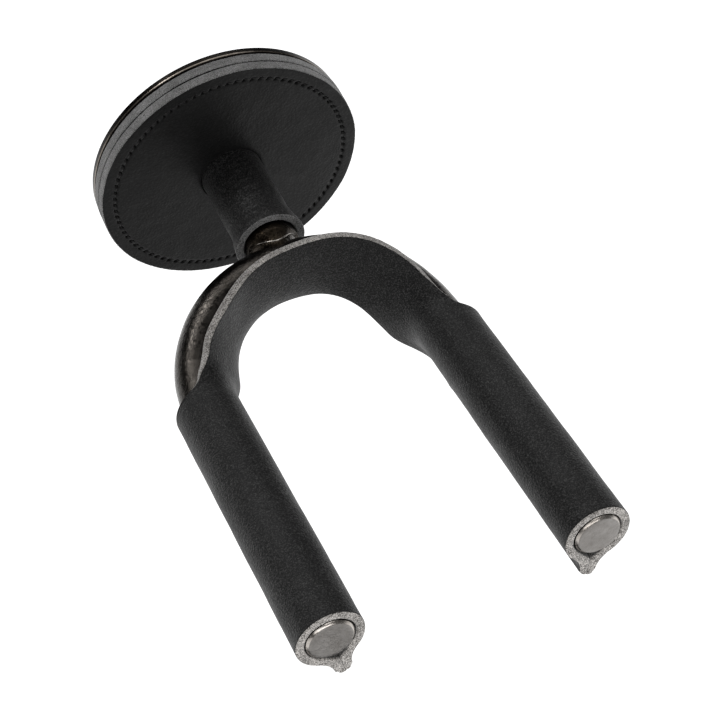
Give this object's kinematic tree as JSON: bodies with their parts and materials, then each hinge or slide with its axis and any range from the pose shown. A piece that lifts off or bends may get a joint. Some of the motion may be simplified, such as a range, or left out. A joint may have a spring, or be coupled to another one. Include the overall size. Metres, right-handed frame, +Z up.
{
  "type": "wall guitar hanger",
  "caption": "Wall hanger for a guitar: round plate faced with stitched leather, leather-sleeved post and a swivelling forged steel U yoke with leather-wrapped prongs.",
  "frame": {"origin": "middle of the flat back of the wall plate, where the hanger bears on the wall", "axes": "+Y into the wall, so the prongs point out along -Y; +Z up; +X to the right for someone facing the wall"},
  "size_m": [0.0862, 0.1612, 0.0762],
  "materials": {
    "smoke_steel": "polished smoke-black plating over forged steel, slightly brushed",
    "plain_steel": "plain turned steel",
    "nylon": "natural nylon",
    "black_leather": "black fine-grained vegetable-tanned leather with raw grey cut edges",
    "black_thread": "waxed black thread"
  },
  "bodies": {
    "wall_side": {"wall_plate": "smoke_steel", "post_hub": "smoke_steel", "hub_lock_screw": "plain_steel", "cover_back_leather": "black_leather", "cover_front_leather": "black_leather", "cover_thread": "black_thread", "post": "smoke_steel", "post_sleeve": "black_leather", "sleeve_thread": "black_thread", "retaining_screw": "plain_steel", "swivel_bushing": "nylon", "spring_washer": "plain_steel", "thrust_washer": "smoke_steel"},
    "yoke": {"swivel_stud": "smoke_steel", "yoke_bar": "smoke_steel", "yoke_leather": "black_leather", "left_seam_thread": "black_thread", "right_seam_thread": "black_thread"}
  },
  "joints": [
    {"name": "yoke_swivel", "type": "hinge", "parent": "wall_side", "child": "yoke", "pos_m": [0, -0.03836, 0.00168], "axis": [0, -0.999, 0.0436], "continuous": true}
  ]
}
